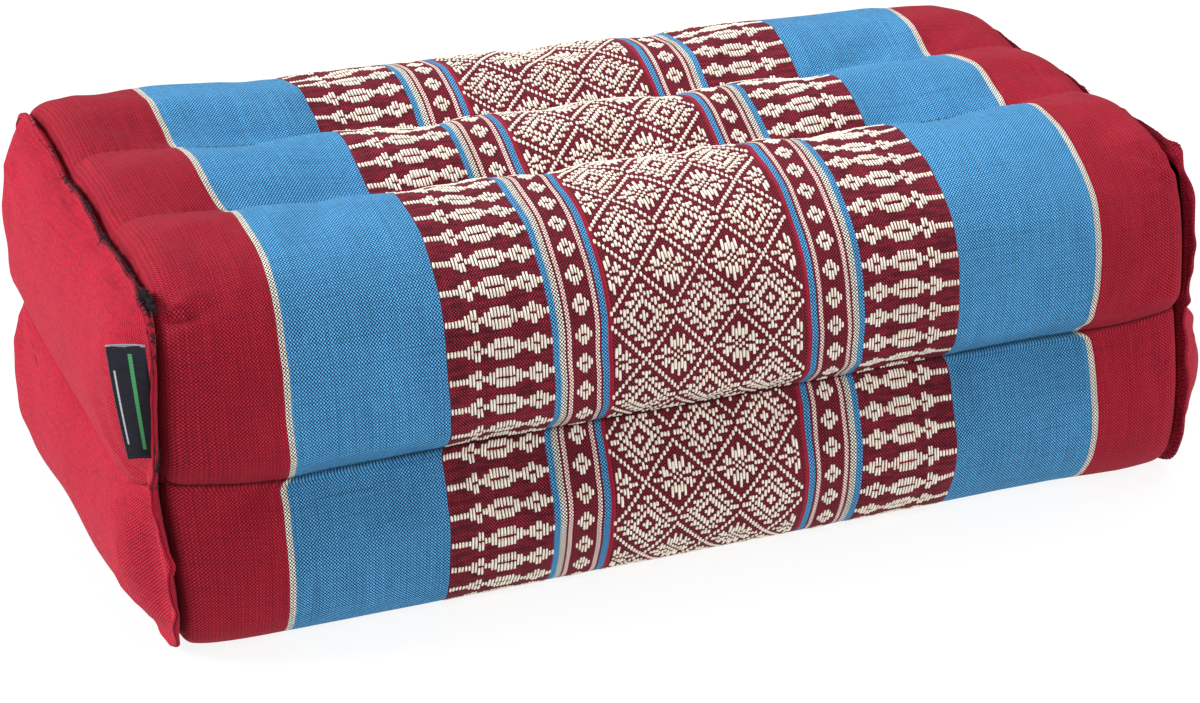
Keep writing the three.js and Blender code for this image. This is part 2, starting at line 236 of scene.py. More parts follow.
def share_at(v):
    return np.interp(v, GIRTH_LENGTHS, GIRTH_SHARES)


# Folds pressed into the wrap: u, v, direction in degrees from u, length, width, depth
FOLDS = (
    (-168, 95, -19, 17, 2.1, 8.5), (-171, 90, -60, 7, 2.6, 6.0),
    (-160, 60, 35, 30, 7, 1.0), (-150, 122, 20, 34, 9, 0.7), (-158, 165, -30, 26, 6, 1.0),
    (168, 92, 28, 14, 2.2, 6.5), (165, 86, 10, 12, 2.4, 3.0), (167, 100, 50, 12, 2.6, 3.0),
    (163, 176, 65, 16, 4, 1.2), (150, 178, 80, 14, 5, 1.0), (158, 99, 40, 22, 5, 1.2),
    (160, 70, -35, 26, 6, 1.2), (156, 140, -35, 30, 7, 1.0), (160, 172, 30, 26, 6, 0.9),
    (-158, -44, 20, 26, 6, 1.1), (-156, 8, -25, 28, 7, 0.9), (158, -46, -20, 28, 7, 1.1),
    (156, 12, 25, 26, 6, 0.9), (-160, -95, 20, 26, 6, 1.5), (160, -92, -25, 26, 6, 1.5),
    (-156, -165, 30, 26, 6, 1.0), (158, -160, -30, 26, 6, 1.0),
)
# How far each seam pulls the cloth in towards mid length at the cream stripes: left, right
SEAM_PULLS = ((1.0, 1.0), (2.0, 2.0), (2.4, 3.8), (3.6, 1.2), (2.8, 6.0), (0.6, 2.2))
PULL_UNDER_SIDE_SEAM = (0.0, 2.0)
PULL_AT = 136.0
PULL_POWER = 2.8
LEFT_CROWN_PULL, CROWN_V = 1.7, 80.0


def off_rim(u, power):
    """1 over most of the length, falling to 0 at both rims."""
    return 1 - (np.abs(u) / RIM) ** power


def unevenness(u, v):
    """The lumps and folds of a hand-filled cushion, in mm outwards."""
    lumps = 0.55 * np.sin(u / 31 + 0.9) * np.sin(v / 24 + 0.4)
    lumps += 0.4 * np.sin(u / 17.3 + v / 41 + 2.1) * np.sin(v / 19 + 1.3)
    lumps += 0.25 * np.sin(u / 9.1 - v / 15 + 0.6) * np.sin(u / 53 + 0.2)
    out = lumps * off_rim(u, 10)
    for u0, v0, turn, length, width, depth in FOLDS:
        c, s = math.cos(math.radians(turn)), math.sin(math.radians(turn))
        along = (u - u0) * c + (v - v0) * s
        across = (v - v0) * c - (u - u0) * s
        crossed = bell(across, width) - 0.45 * bell(across, 2.2 * width)
        out -= depth * off_rim(u, 36) * bell(along, length / 2) * crossed
    return out


def lengthwise_pull(u, v):
    """How far the cloth at u and v is drawn in towards mid length, in mm."""
    roll = np.searchsorted(SEAM_VS, v, side="right")
    lows, highs = np.array(ROLLS).T
    t = ramp(v, lows[roll], highs[roll])
    under_seam = ramp(v, SEAM_VS[FRONT_SIDE] + 4, SEAM_VS[FRONT_SIDE]) ** 2 * (roll == FRONT_LOWER)
    pulls = []
    for side in (0, 1):
        at = np.array([0.0, *(pull[side] for pull in SEAM_PULLS), 0.0])
        under = PULL_UNDER_SIDE_SEAM[side]
        start = np.where(roll == FRONT_LOWER, under, at[roll])
        hidden = (at[FRONT_LOWER] - under) * under_seam
        pulls.append(start * (1 - t) ** PULL_POWER + at[roll + 1] * t**PULL_POWER + hidden)
    crown = LEFT_CROWN_PULL * bell(v - CROWN_V, 24)
    share = (np.abs(u) / PULL_AT) ** 2 * off_rim(u, 12) / off_rim(PULL_AT, 12)
    return np.sign(u) * np.where(u < 0, pulls[0] + crown, pulls[1]) * share


def normals_of(points):
    """Unit normals of a grid [u, v], outwards, where v closes on itself."""
    return unit(np.cross(np.roll(points, -1, 1) - np.roll(points, 1, 1), np.gradient(points, axis=0)))


def moved_out(points, out):
    return above_floor(points + normals_of(points) * out[..., None], FLOOR_GAP)


def off_floor(points):
    return ramp(points[..., 2], 1, 9)


def wrap_grid(us, vs):
    """The filled wrap without its puckers."""
    u, v = np.meshgrid(us, vs, indexing="ij")
    points = section(u - lengthwise_pull(u, v), share_at(v))
    left_top = (u < 0) * ramp(points[..., 2], 80, 120)
    dip = RIM_DIP * (1 - 0.5 * left_top) * ramp(np.abs(u), RIM - RIM_DIP_REACH, RIM) ** 2.2
    return moved_out(points, unevenness(u, v) * off_floor(points) - dip)


def blurred(field, rounds):
    for _ in range(rounds):
        padded = np.concatenate([field[:1], field, field[-1:]])
        field = 0.25 * padded[:-2] + 0.5 * field + 0.25 * padded[2:]
        field = 0.25 * np.roll(field, 1, 1) + 0.5 * field + 0.25 * np.roll(field, -1, 1)
    return field


def spaced(stops, steps):
    """Lines from stop to stop, each stretch split evenly into steps of about that size."""
    counts = [max(2, round((b - a) / steps)) for a, b in zip(stops, stops[1:])]
    lines = [np.linspace(a, b, n, endpoint=False) for a, b, n in zip(stops, stops[1:], counts)]
    return np.concatenate([*lines, stops[-1:]])


# Faces are rows of four corners. A triangle repeats its last one.

def grid_corners(rows, columns, loop_rows=False):
    """Row and column of each quad's corners in a grid. They run one past the end where it closes."""
    i, j = np.meshgrid(np.arange(rows - (not loop_rows)), np.arange(columns), indexing="ij")
    return i.reshape(-1, 1) + np.array([0, 0, 1, 1]), j.reshape(-1, 1) + np.array([0, 1, 1, 0])


def grid_quads(rows, columns):
    """Quads of a grid whose rows close on themselves."""
    i, j = grid_corners(rows, columns)
    return i * columns + j % columns


def ring(a, b):
    """Faces between two closed rows, or from a closed row a to one point b."""
    b = b + 0 * a
    return np.stack([a, np.roll(a, -1), np.roll(b, -1), b], -1)


def turned(faces):
    """The faces the other way round."""
    faces = faces[:, ::-1]
    return np.where(faces[:, :1] == faces[:, 1:2], np.roll(faces, -2, 1), faces)


def outwards(points, faces):
    """The faces turned so that the closed mesh faces outwards."""
    a, b, c, d = (points[faces[:, k]] for k in range(4))
    return faces if (a * (np.cross(b, c) + np.cross(c, d))).sum() > 0 else turned(faces)


def stood_out(points):
    """The left end's front edge pushed out to the left, most by its side seam."""
    x, y, z = np.moveaxis(points, -1, 0)
    out = SEAM_OUT * bell(z - SEAM_OUT_Z, np.where(z > SEAM_OUT_Z, 50, 38)) * ramp(-y, 20, 85) ** 1.5
    return np.stack([x - out * ramp(-x, 150, 172) ** 1.5, y, z], -1)


def new_object(name, points, faces, material=None, stands_out=True, **maps):
    """A smooth mesh. Its UV maps give a place for each point, or for each corner of each face."""
    mesh = bpy.data.meshes.new(name)
    points = to_frame(stood_out(points) if stands_out else points)
    mesh.from_pydata(points.tolist(), [], [f[:3] if f[2] == f[3] else f for f in faces.tolist()])
    mesh.update()
    mesh.shade_smooth()
    kept = np.ones(faces.shape, bool)
    kept[:, 3] = faces[:, 2] != faces[:, 3]
    for map_name, places in maps.items():
        corners = (places[faces] if places.ndim == 2 else places)[kept]
        mesh.uv_layers.new(name=map_name).data.foreach_set("uv", corners.astype(np.float32).ravel())
    if material:
        mesh.materials.append(material)
    obj = bpy.data.objects.new(name, mesh)
    bpy.context.scene.collection.objects.link(obj)
    return obj


SIM_STEP = 4.2
SIM_FRAMES = 20
SIM_SETTINGS = {
    "quality": 6, "mass": 0.3, "tension_stiffness": 20, "compression_stiffness": 20,
    "shear_stiffness": 10, "bending_stiffness": 0.4, "use_pressure": True,
    "uniform_pressure_force": 4, "shrink_min": -0.035, "vertex_group_mass": "sewn",
}
MOST_SWELLING = 8.0
SWELLING_BLUR = 14
PUCKER_CAP = 1.5
PUCKER_SHARE = 0.6


def puckers(us, vs):
    """Blows the wrap up between its sewn lines with cloth simulation and gives how far each point
    of the grid us, vs comes out, without the overall swelling."""
    scene = bpy.context.scene
    coarse_us = spaced([-RIM, RIM], SIM_STEP)
    coarse_vs = spaced([BACK_V, *SEAM_VS, FRONT_V], SIM_STEP)[:-1]
    start = wrap_grid(coarse_us, coarse_vs)
    rows, columns = start.shape[:2]
    obj = new_object("wrap_trial", start.reshape(-1, 3), grid_quads(rows, columns))
    held = start[..., 2] < 1
    held[:, np.isin(coarse_vs, SEAM_VS)] = True
    held[[0, -1], :] = True
    sewn = obj.vertex_groups.new(name="sewn")
    sewn.add(np.flatnonzero(held.ravel()).tolist(), 1.0, "REPLACE")
    cloth = obj.modifiers.new("Cloth", "CLOTH")
    for setting, value in SIM_SETTINGS.items():
        setattr(cloth.settings, setting, value)
    cloth.settings.effector_weights.gravity = 0
    cloth.collision_settings.use_collision = False
    cloth.point_cache.frame_start, cloth.point_cache.frame_end = 1, SIM_FRAMES
    for step in range(1, SIM_FRAMES + 1):
        scene.frame_set(step)
    shown = obj.evaluated_get(bpy.context.evaluated_depsgraph_get())
    found = np.empty(rows * columns * 3)
    shown.data.vertices.foreach_get("co", found)
    scene.frame_set(1)
    bpy.data.objects.remove(obj)
    moved = (found.reshape(rows, columns, 3) - ORIGIN) / MM - start
    out = np.clip((moved * normals_of(start)).sum(-1), -MOST_SWELLING, MOST_SWELLING)
    out = np.clip(out - blurred(out, SWELLING_BLUR), -PUCKER_CAP, PUCKER_CAP)
    fine_u = np.stack([np.interp(us, coarse_us, column) for column in out.T], 1)
    closed = np.concatenate([fine_u, fine_u[:, :1]], 1)
    fine = np.stack([np.interp(vs, np.append(coarse_vs, FRONT_V), row) for row in closed])
    return PUCKER_SHARE * blurred(fine, 2)


# The lines of the final wrap mesh, closer together beside the seams and towards the ends
WRAP_COLUMNS = 246
WRAP_STEP = 1.75


def crowded(low, high, steps, crowding):
    t = np.linspace(0, 1, steps, endpoint=False)
    return low + (high - low) * (t - crowding * np.sin(2 * np.pi * t) / (2 * np.pi))


WRAP_US = np.append(crowded(-RIM, RIM, WRAP_COLUMNS, 0.5), RIM)
WRAP_VS = np.concatenate([crowded(a, b, max(6, round((b - a) / WRAP_STEP)), 0.75) for a, b in ROLLS])
CLOSED_VS = np.append(WRAP_VS, FRONT_V)
wrap_points = wrap_grid(WRAP_US, WRAP_VS)
come_out = puckers(WRAP_US, WRAP_VS)
wrap_points = moved_out(wrap_points, come_out * off_floor(wrap_points) * off_rim(WRAP_US, 12)[:, None])
wrap_normals = normals_of(wrap_points)


def on_wrap(u, v, height):
    """Points at a height over the final wrap mesh."""
    i = np.clip(np.interp(u, WRAP_US, np.arange(len(WRAP_US))), 0, len(WRAP_US) - 1.001)
    j = np.interp(BACK_V + np.mod(v - BACK_V, GIRTH), CLOSED_VS, np.arange(len(CLOSED_VS)))
    i0, j0 = i.astype(int), np.minimum(j.astype(int), len(WRAP_VS) - 1)
    j1 = (j0 + 1) % len(WRAP_VS)
    a, b = (i - i0)[..., None], (j - j0)[..., None]

    def mixed(grid):
        near = grid[i0, j0] * (1 - b) + grid[i0, j1] * b
        far = grid[i0 + 1, j0] * (1 - b) + grid[i0 + 1, j1] * b
        return near * (1 - a) + far * a

    return above_floor(mixed(wrap_points) + unit(mixed(wrap_normals)) * height[..., None], 0.02)


# Materials as node trees

class Value:
    """A number in a node tree that takes plain signs."""

    def __init__(self, nodes, socket):
        self.nodes = nodes
        self.socket = socket

    def __add__(self, other):
        return self.nodes.math("ADD", self, other)

    def __sub__(self, other):
        return self.nodes.math("SUBTRACT", self, other)

    def __rsub__(self, other):
        return self.nodes.math("SUBTRACT", other, self)

    def __mul__(self, other):
        return self.nodes.math("MULTIPLY", self, other)

    def __truediv__(self, other):
        return self.nodes.math("DIVIDE", self, other)

    def __abs__(self):
        return self.nodes.math("ABSOLUTE", self)


class Nodes:
    """A short way to write a material's node tree."""

    def __init__(self, name, roughness, sheen=0.0):
        self.material = bpy.data.materials.new(name)
        self.material.use_nodes = True
        self.tree = self.material.node_tree
        self.shader = self.tree.nodes["Principled BSDF"]
        self.set_shader({"Roughness": roughness, "Specular IOR Level": 0.12, "Sheen Weight": sheen})

    def set_shader(self, values):
        for name, value in values.items():
            self.put(self.shader.inputs[name], value)

    def put(self, socket, value):
        if isinstance(value, Value):
            self.tree.links.new(value.socket, socket)
        else:
            socket.default_value = value

    def node(self, kind, inputs, output=0, **settings):
        node = self.tree.nodes.new(kind)
        for key, value in settings.items():
            setattr(node, key, value)
        for key, value in inputs.items():
            self.put(node.inputs[key], value)
        return Value(self, node.outputs[output])

    def math(self, operation, a, b=0.0):
        return self.node("ShaderNodeMath", {0: a, 1: b}, operation=operation)

    def sine(self, value, period):
        return self.math("SINE", value * (2 * math.pi / period))

    def map(self, name):
        place = self.node("ShaderNodeUVMap", {}, uv_map=name)
        return [self.node("ShaderNodeSeparateXYZ", {0: place}, output) for output in (0, 1)]

    def noise(self, u, v, per_u, per_v, detail, seed):
        """Noise whose patches are about per_u by per_v mm."""
        at = self.node("ShaderNodeCombineXYZ", {0: u / per_u, 1: v / per_v, 2: seed})
        return self.node("ShaderNodeTexNoise", {"Vector": at, "Scale": 1.0, "Detail": detail})

    def mix(self, factor, a, b, blend="MIX"):
        return self.node("ShaderNodeMix", {0: factor, 6: a, 7: b}, 2, data_type="RGBA", blend_type=blend)

    def shaded(self, colour, shade):
        grey = self.node("ShaderNodeCombineXYZ", {0: shade, 1: shade, 2: shade})
        return self.mix(1.0, colour, grey, "MULTIPLY")

    def ranged(self, value, low, high, to_low=0.0, to_high=1.0):
        """value from low to high becomes to_low to to_high, held at both."""
        return self.node("ShaderNodeMapRange", {0: value, 1: low, 2: high, 3: to_low, 4: to_high})

    def steps(self, value, edges, colours):
        """Colours that change at each edge, for a value from 0 to the last edge."""
        top = edges[-1]
        found = self.node("ShaderNodeValToRGB", {0: value / top})
        bands = found.socket.node.color_ramp
        bands.interpolation = "CONSTANT"
        bands.elements[0].position, bands.elements[0].color = 0, colours[0]
        bands.elements[1].position, bands.elements[1].color = edges[0] / top, colours[1]
        for edge, colour in zip(edges[1:-1], colours[2:]):
            bands.elements.new(edge / top).color = colour
        return found

    def bump(self, height, distance, strength, **below):
        inputs = {"Height": height, "Distance": distance * MM, "Strength": strength, **below}
        return self.node("ShaderNodeBump", inputs)

    def finish(self, colour, **more):
        self.set_shader({"Base Color": colour, **more})
        return self.material


def rgb(*screen):
    """A screen colour, 0 to 255, as the linear colour that shaders take."""
    return (*(c / 255 / 12.92 if c <= 10 else ((c / 255 + 0.055) / 1.055) ** 2.4 for c in screen), 1.0)


RED, RED_DARK = rgb(170, 40, 63), rgb(120, 0, 3)
END_RED, END_RED_DARK = rgb(196, 37, 66), rgb(112, 4, 12)
BRIGHT_RED = rgb(164, 22, 44)
BLUE, BLUE_DARK = rgb(98, 182, 235), rgb(0, 26, 80)
MAROON, MAROON_DARK, MAROON_LIGHT = rgb(146, 42, 58), rgb(42, 15, 22), rgb(182, 44, 66)
CREAM, CREAM_DARK = rgb(252, 246, 232), rgb(24, 16, 20)
SLUB_SHADE = rgb(20, 24, 60)

WARP_PITCH = 0.54
WEFT_PITCH = 0.584
SEAM_STITCH = 3.0
GATHER_PITCH = 3.1
TWILL_PITCH = 1.15

# The bands of the wrap by distance from the middle: outer edge in mm, warp colour, weft colour
BANDS = (
    (32.6, MAROON, MAROON_DARK), (34.1, BRIGHT_RED, MAROON), (36.2, BLUE, BLUE_DARK),
    (37.26, MAROON, MAROON_DARK), (38.34, CREAM, MAROON), (46.98, MAROON, MAROON_DARK),
    (48.06, CREAM, MAROON), (48.6, MAROON, MAROON_DARK), (50.76, CREAM, CREAM_DARK),
    (53.2, BLUE, BLUE_DARK), (87.7, MAROON, MAROON_DARK), (138.1, BLUE, BLUE_DARK),
    (140.2, CREAM, CREAM_DARK), (180.0, RED, RED_DARK),
)
RED_FROM, RED_ALL = 137.0, 141.0
# How much the ground is streaked, by the same distance
STREAKED = ((38.34, 0.0), (46.98, 0.35), (53.2, 0.0), (87.7, 1.0), (180.0, 0.0))


def weave(m, u, v):
    """Plain weave as a height from 0 to 1, and where the warp lies on top."""
    crossing = m.sine(u, 2 * WARP_PITCH) * m.sine(v, 2 * WEFT_PITCH)
    return abs(crossing), m.ranged(crossing, -0.12, 0.12)


def seam_closeness(m, v):
    """1 on a lengthwise seam, falling to 0 within a few mm, and within one of a side or top seam."""
    def distance(seams):
        return reduce(lambda a, b: m.math("MINIMUM", a, b), [abs(v - seam) for seam in seams])

    sides, tops = distance(SEAM_VS[:2] + SEAM_VS[4:]), distance(SEAM_VS[2:4])
    near = m.ranged(m.math("MINIMUM", sides, tops), 0.0, 5.0, 1.0, 0.0)
    return near, m.ranged(sides, 0.3, 1.2, 1.0, 0.0), m.ranged(tops, 0.3, 1.0, 1.0, 0.0)


def wrap_material():
    m = Nodes("striped_wrap_cloth", roughness=0.9, sheen=0.02)
    u, v = m.map("cloth")
    u = u + (m.noise(u, v, 300, 14, 1, 3.1) - 0.5) * 0.9
    away, around = abs(u), abs(v)
    # The stripes, with streaks in the maroon ones
    edges, warps, wefts = zip(*BANDS)
    warp, weft = m.steps(away, edges, warps), m.steps(away, edges, wefts)
    edges, streaks = zip(*STREAKED)
    streak = m.steps(away, edges, [(s, s, s, 1) for s in streaks])
    patches = m.noise(u, v, 5.5, 1.1, 3, 7.7)
    warp = m.mix(m.ranged(patches, 0.5, 0.66, 0, 0.75) * streak, warp, MAROON_LIGHT)
    warp = m.mix(m.ranged(patches, 0.5, 0.36, 0, 0.45) * streak, warp, MAROON_DARK)
    height, over = weave(m, u, v)
    colour = m.mix(over, weft, warp)
    slubs = m.noise(u, v, 22, 0.55, 2, 1.3)
    colour = m.mix(m.ranged(slubs, 0.56, 0.72, 0, 0.34), colour, m.mix(0.62, colour, SLUB_SHADE))
    # Uneven threads, patches and grain
    shade = m.ranged(m.noise(u, v, 0.6, 30, 2, 5.1), 0.3, 0.7, 0.86, 1.12)
    shade *= m.ranged(m.noise(u, v, 38, 30, 2, 9.4), 0.3, 0.7, 0.94, 1.06)
    shade *= m.ranged(m.noise(u, v, 1.8, 0.9, 2, 11.3), 0.3, 0.7, 0.9, 1.1)
    shade *= m.sine(u, 2 * WARP_PITCH) * 0.15 + 1.0
    # Painted shade low on the sides, turning to painted light low on the red ends, and painted shade under
    # the side seams off the red
    shade *= 1.0 - m.ranged(around, 118.0, 150.0) * m.ranged(away, RED_FROM, RED_ALL, 0.07, -0.05)
    under = m.ranged(around, 153.0, 157.0, 0, 0.1) * m.ranged(around, 158.0, 180.0, 1, 0)
    shade *= 1.0 - under * m.ranged(away, RED_FROM, RED_ALL, 1, 0)
    # The seams: painted shade in the side seams' creases, and painted shade along the top ones, deepened at
    # each needle hole
    closeness, side_crease_shade, top_crease_shade = seam_closeness(m, v)
    shade *= 1.0 - side_crease_shade * 0.65
    stitches = m.ranged(m.sine(u, SEAM_STITCH), -0.2, 0.6, 0.18, 0.55)
    shade *= 1.0 - top_crease_shade * (stitches * m.ranged(away, RED_FROM, 150.0, 1.0, 0.2))
    phase = m.noise(u, v, 9, 60, 1, 2.2) * 9
    gathers = m.math("SINE", u * (2 * math.pi / GATHER_PITCH) + phase) * (closeness * closeness)
    normal = m.bump(height + slubs * 0.8, 0.12, 0.8, Normal=m.bump(gathers, 0.35, 0.7))
    return m.finish(m.shaded(colour, shade), Normal=normal)


def end_material():
    m = Nodes("plain_red_cloth", roughness=0.9, sheen=0.04)
    u, v = m.map("cloth")
    height, over = weave(m, u, v)
    twill = m.sine(u - v, TWILL_PITCH)
    slubs = m.noise(u, v, 20, 0.6, 2, 4.3)
    colour = m.mix(m.ranged(over, 0, 1, 0.1, 0.95), END_RED_DARK, END_RED)
    colour = m.mix(m.ranged(twill, 0.2, 1.0, 0, 0.12), colour, END_RED_DARK)
    colour = m.mix(m.ranged(slubs, 0.56, 0.72, 0, 0.3), colour, END_RED_DARK)
    shade = m.ranged(m.noise(u, v, 2.4, 1.1, 2, 8.1), 0.3, 0.7, 0.84, 1.15)
    shade *= m.ranged(m.noise(u, v, 30, 26, 2, 2.4), 0.3, 0.7, 0.94, 1.06)
    relief = height + (twill + 1.0) * 0.12
    return m.finish(m.shaded(colour, shade), Normal=m.bump(relief, 0.14, 0.8))


def yarn_material():
    m = Nodes("cream_cotton_floats", roughness=0.8, sheen=0.15)
    u, v = m.map("cloth")
    tone = m.noise(u, v, 1.1, 3.2, 2, 6.2)
    fibres = m.noise(u, v, 0.12, 1.4, 2, 1.9)
    colour = m.mix(m.ranged(tone, 0.3, 0.72), rgb(255, 250, 238), rgb(238, 226, 204))
    colour = m.mix(m.ranged(fibres, 0.55, 0.75, 0, 0.35), colour, rgb(196, 174, 148))
    return m.finish(colour, Normal=m.bump(fibres, 0.08, 0.7))


def thread_material(name, dark, light):
    m = Nodes(name, roughness=0.75, sheen=0.05)
    tone = m.noise(*m.map("cloth"), 0.5, 2.0, 2, 3.7)
    return m.finish(m.mix(m.ranged(tone, 0.3, 0.7), dark, light), Normal=m.bump(tone, 0.05, 0.6))


TAG_WIDTH, TAG_HEIGHT, TAG_THICKNESS = 11.4, 37.0, 0.6
# Top and bottom corners of the tag
TAG_SEAT = np.array([(-179.0, -88.5, 106.3), (-176.9, -90, 69.4)])
TAG_FREE_EDGE = np.array([(-190.4, -86, 107.2), (-186.3, -88, 70.2)])
# Two plain lines: place across, width, from, to, colour
TAG_LINES = ((4.6, 1.2, 3.0, 34.0, rgb(96, 190, 122)), (10.0, 0.6, 5.0, 29.0, rgb(222, 222, 228)))
RIB_PITCH, RIB_LENGTH = 0.45, 0.6


def tag_material():
    """Black ribbon with two plain woven lines and a paler cut edge at the top."""
    m = Nodes("black_woven_tag", roughness=0.7, sheen=0.02)
    u, v = m.map("cloth")
    ribs = m.sine(v, RIB_PITCH)
    fine = ribs * m.sine(u, RIB_LENGTH)
    tone = m.noise(u, v, 2.5, 1.2, 2, 5.5)
    colour = m.mix(m.ranged(fine + tone, -0.4, 1.4), rgb(21, 23, 30), rgb(56, 58, 68))
    edge = m.math("GREATER_THAN", v + tone * 1.2, TAG_HEIGHT)
    colour = m.mix(edge * 0.75, colour, rgb(176, 172, 186))
    for at, width, low, high, ink in TAG_LINES:
        across = m.math("LESS_THAN", abs(u - at), width / 2)
        along = m.math("GREATER_THAN", v, low) * m.math("LESS_THAN", v, high)
        colour = m.mix(across * along * m.ranged(ribs, -0.9, -0.2, 0.35, 1), colour, ink)
    return m.finish(colour, Normal=m.bump(fine, 0.1, 0.6))


# Shapes of the ends. CREASE_FILL fills the right end's crease out beside its front edge.
END_BULGE = 11.0
LEFT_LOWER_BULGE = 14.0
RIGHT_FRONT_BULGE = 7.5
CREASE_BULGE, CREASE_FILL, CREASE_SAG = 3.5, 7.5, 10.0
CREASE_STEPS = 70
END_RINGS = (0.985, 0.96, 0.92, 0.87, 0.81, 0.74, 0.66, 0.57, 0.47, 0.36, 0.25, 0.13)
CAP_RINGS = (0.9, 0.7, 0.4)
# Folds that fan out from the ends of the crease and from the corners: y, z, spread in mm, depth,
# number of folds, turn
FANS = (
    (-84, 58, 26, 1.7, 11, 0.4), (88, 60, 28, 1.5, 9, 1.7), (-74, 108, 20, 1.4, 8, 0.9),
    (76, 114, 20, 1.4, 8, 2.4), (-78, 8, 18, 1.3, 8, 1.2), (80, 8, 18, 1.3, 8, 0.2),
)


def end_loop(side, v):
    """The sewn outline of one end at v. The wrap turns in just short of it."""
    return section(side * RIM, share_at(BACK_V + np.mod(v - BACK_V, GIRTH)))


def pillow_out(y, z, x, crease_z, front_y, back_y):
    """How far an end stands out: two pillows, one on each side of its crease."""
    u = np.abs(2 * ramp(y, front_y, back_y) - 1)
    v = ramp(z, crease_z, np.where(z > crease_z, END_TOP, END_BOTTOM) * lift_at(x, y))
    pillow = np.sqrt(np.maximum(0, 4 * v * (1 - v))) * (1 - u**12)
    if x < 0:
        filled, upper = 0.0, END_BULGE * (1.18 - 0.18 * v)
        lower = LEFT_LOWER_BULGE * (0.8 + 0.2 * v) * (1 - 0.35 * v**6)
    else:
        filled, upper = CREASE_FILL * bell(y + 70, 16), END_BULGE
        lower = END_BULGE + RIGHT_FRONT_BULGE * bell(y + 74, 26)
    low = (CREASE_BULGE * (1 - u**4) + filled * (1 - u**12)) * (1 - v)
    out = low + (np.where(z < crease_z, lower, upper) - low) * pillow
    inside = np.minimum(1, pillow * 1.5)
    for y0, z0, spread, depth, folds, turn in FANS:
        away = np.hypot(y - y0, z - z0)
        fade = np.exp(-away / spread) * (1 - np.exp(-away / 7))
        out = out + depth * fade * np.cos(folds * np.arctan2(z - z0, y - y0) + turn) * inside
    return out + 0.7 * np.sin(y / 13 + 0.3 * x) * np.sin(z / 11 + 1) * inside


def end_surface(side, offset, rings=END_RINGS):
    """Points and faces of one end at an offset outwards. Its rim's points come first, by WRAP_VS."""
    loop = end_loop(side, WRAP_VS)
    count = len(loop)
    front, back = (int(np.argmin(np.abs(WRAP_VS - SEAM_VS[k]))) for k in (FRONT_SIDE, BACK_SIDE))
    t = np.linspace(0, 1, CREASE_STEPS + 1)[:, None]
    crease = loop[front] * (1 - t) + loop[back] * t
    crease[:, 2] -= CREASE_SAG * np.sqrt(1 - (2 * t[:, 0] - 1) ** 2)
    base = RIM + offset

    def placed(p, share):
        crease_z = np.interp(p[:, 1], crease[:, 1], crease[:, 2])
        out = pillow_out(p[:, 1], p[:, 2], side * base, crease_z, loop[front, 1], loop[back, 1])
        return np.stack([side * (base + out * share), p[:, 1], p[:, 2]], -1)

    flat = np.concatenate([loop, crease[1:-1]])
    points = [placed(flat, 1.0 * (np.arange(len(flat)) >= count))]
    faces = []
    total = len(flat)
    on_crease = np.arange(count, total)
    # The upper half goes over the top from the back seam to the front one, the lower half under.
    upper = np.concatenate([np.arange(back, front + 1), on_crease])
    lower = np.concatenate([np.arange(front, count), np.arange(back + 1), on_crease[::-1]])
    for row in (upper, lower):
        shape, on_rim = flat[row], row < count
        middle = shape.mean(0)
        for r in rings:
            points.append(placed(middle + (shape - middle) * r, np.where(on_rim, 1 - r**14, 1.0)))
            before, row = row, np.arange(total, total + len(row))
            faces.append(ring(before, row))
            total += len(row)
        points.append(placed(middle[None], 1.0))
        faces.append(ring(row, total))
        total += 1
    return np.concatenate(points), np.concatenate(faces)


def body():
    """The filled wrap, closed at both ends under the end panels."""
    rows, columns = wrap_points.shape[:2]
    i, j = grid_corners(rows, columns)
    points, caps = [wrap_points.reshape(-1, 3)], []
    total = rows * columns
    for side, row in ((-1, 0), (1, rows - 1)):
        cap, faces = end_surface(side, 0.0, CAP_RINGS)
        index = np.append(row * columns + np.arange(columns), total + np.arange(len(cap) - columns))
        caps.append(index[faces if side > 0 else turned(faces)])
        points.append(cap[columns:])
        total += len(cap) - columns
    points, caps = np.concatenate(points), np.concatenate(caps)
    u, v = WRAP_US[i], CLOSED_VS[j]
    on_caps = points[caps]
    sides, y = np.sign(on_caps[..., 0]), on_caps[..., 1]
    cloth = np.concatenate([np.stack([u, v], -1), np.stack([sides * (RIM + 2), y], -1)])
    bake = np.stack([0.03 + 0.94 * (u + RIM) / (2 * RIM), 0.01 + 0.98 * (v - BACK_V) / GIRTH], -1)
    bake = np.concatenate([bake, np.stack([0.5 + 0.49 * sides, 0.5 + y / 250], -1)])
    faces = np.concatenate([grid_quads(rows, columns), caps])
    return new_object("wrap_body", points, faces, wrap_material(), cloth=cloth, OFBake=bake)


def end_panel(name, side):
    """One end panel: a thin closed sheet with two pillows and the crease between them."""
    outer, faces = end_surface(side, GAP + PANEL_THICKNESS)
    inner, _ = end_surface(side, GAP + PANEL_THICKNESS - CLOTH_THICKNESS)
    points, rim = np.concatenate([outer, inner]), np.arange(len(WRAP_VS))
    band = turned(ring(rim, rim + len(outer)))
    faces = np.concatenate([faces, turned(faces) + len(outer), band])
    y, z = points[:, 1], points[:, 2]
    layer = np.repeat([0.0, 0.5], len(outer))
    bake = np.stack([(y + 110) / 440 + layer, z / 140], -1)
    cloth = np.stack([y * side, z], -1)
    return new_object(name, points, outwards(points, faces), red_cloth, cloth=cloth, OFBake=bake)


# Edge lips: the turned-out seam allowance of wrap and end panel
LIP_STEPS = 620
LIP_LEAN = 0.4
LIP_FOOT_X = LENGTH / 2 - 0.9
LIP_FOOT_OUT = 0.2
LIP_TOP = 2.75
